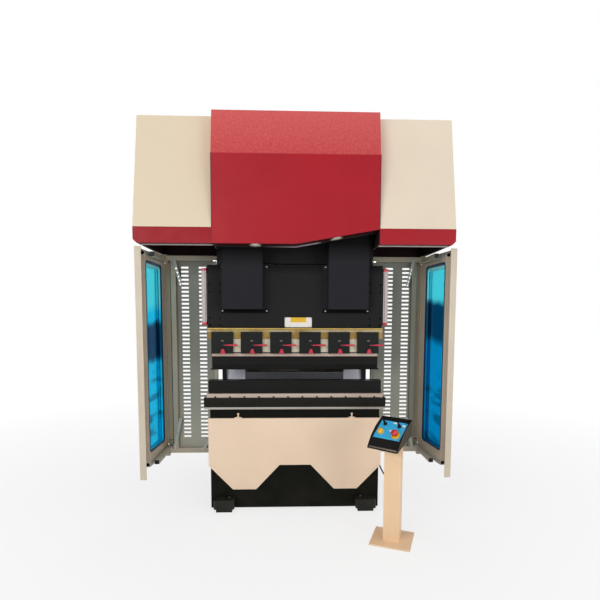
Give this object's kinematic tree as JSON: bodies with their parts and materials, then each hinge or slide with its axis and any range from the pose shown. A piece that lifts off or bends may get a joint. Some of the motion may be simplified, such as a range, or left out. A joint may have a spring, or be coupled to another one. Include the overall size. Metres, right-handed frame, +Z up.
{
  "type": "press brake",
  "caption": "Small press brake with a tall red and beige hood, black ram and bed, tool clamps, glazed side guard doors and a pedestal console.",
  "frame": {"origin": "on the floor, midway between the four floor anchor holes", "axes": "+Z up, +Y to the rear so that the bending side faces -Y, +X to the right seen from the front"},
  "size_m": [2.1045, 1.5477, 2.643],
  "materials": {
    "machine_black": "satin textured",
    "base_black": "satin",
    "hood_red": "satin orange peel",
    "hood_beige": "satin",
    "panel_peach": "satin",
    "guard_grey": "satin",
    "guard_light": "satin",
    "guard_beige": "satin",
    "holder_black": "satin",
    "table_steel": "ground",
    "rail_steel": "ground",
    "tool_steel": "dark ground",
    "cover_grey": "satin",
    "clamp_gold": "satin",
    "clamp_black": "satin",
    "adapter_cream": "satin",
    "lever_red": "gloss",
    "scale_white": "satin",
    "window_blue": "clear tinted",
    "plate_white": "matt",
    "lamp_cream": "matt",
    "gauge_lavender": "satin",
    "gauge_dark": "satin",
    "console_black": "satin",
    "console_blue": "satin",
    "button_yellow": "gloss",
    "cable_black": "satin",
    "slide_steel": "ground"
  },
  "bodies": {
    "base": {"left_side_frame": "machine_black", "right_side_frame": "machine_black", "bed_plate": "base_black", "front_panel": "panel_peach", "table_plate": "table_steel", "die_holder": "holder_black", "die_rail": "rail_steel", "die": "tool_steel", "front_feet": "base_black", "rear_feet": "base_black", "cross_beam": "machine_black", "rear_cover": "hood_beige", "ram_guides": "machine_black", "linear_scales": "scale_white", "scale_brackets": "machine_black", "centre_hood": "hood_red", "lamp_panel": "machine_black", "hood_lamps": "lamp_cream", "left_hood": "hood_beige", "right_hood": "hood_beige", "left_hood_band": "hood_red", "right_hood_band": "hood_red", "gauge_rails": "slide_steel", "guard_rails": "guard_beige", "guard_arms": "guard_beige", "guard_posts": "guard_grey", "guard_braces": "guard_light", "left_slotted_panel": "guard_grey", "right_slotted_panel": "guard_grey", "hinge_lugs": "guard_beige", "console_post": "panel_peach", "console_box": "console_black", "console_plate": "console_blue", "console_buttons": "button_yellow", "cable_glands": "cable_black", "console_cable": "cable_black"},
    "ram": {"ram_plate": "machine_black", "ram_covers": "cover_grey", "clamp_rail": "clamp_gold", "punch_adapter": "adapter_cream", "clamp_blocks": "clamp_black", "clamp_levers": "lever_red", "tool_bar": "rail_steel", "punch": "tool_steel", "blank_plate": "plate_white"},
    "left_door": {"left_door": "guard_beige", "left_window": "window_blue", "left_door_pins": "slide_steel"},
    "right_door": {"right_door": "guard_beige", "right_window": "window_blue", "right_door_pins": "slide_steel"},
    "gauge": {"gauge_beam": "gauge_dark", "gauge_sliders": "gauge_lavender"}
  },
  "joints": [
    {"name": "ram_slide", "type": "slide", "parent": "base", "child": "ram", "axis": [0, 0, 1], "range_m": [-0.065, 0.1]},
    {"name": "gauge_slide", "type": "slide", "parent": "base", "child": "gauge", "axis": [0, 1, 0], "range_m": [-0.09, 0.33]},
    {"name": "left_door_hinge", "type": "hinge", "parent": "base", "child": "left_door", "pos_m": [-0.975, -0.082, 1.05], "axis": [0, 0, -1], "range_deg": [-4, 86]},
    {"name": "right_door_hinge", "type": "hinge", "parent": "base", "child": "right_door", "pos_m": [0.975, -0.082, 1.05], "axis": [0, 0, 1], "range_deg": [-7, 83]}
  ]
}
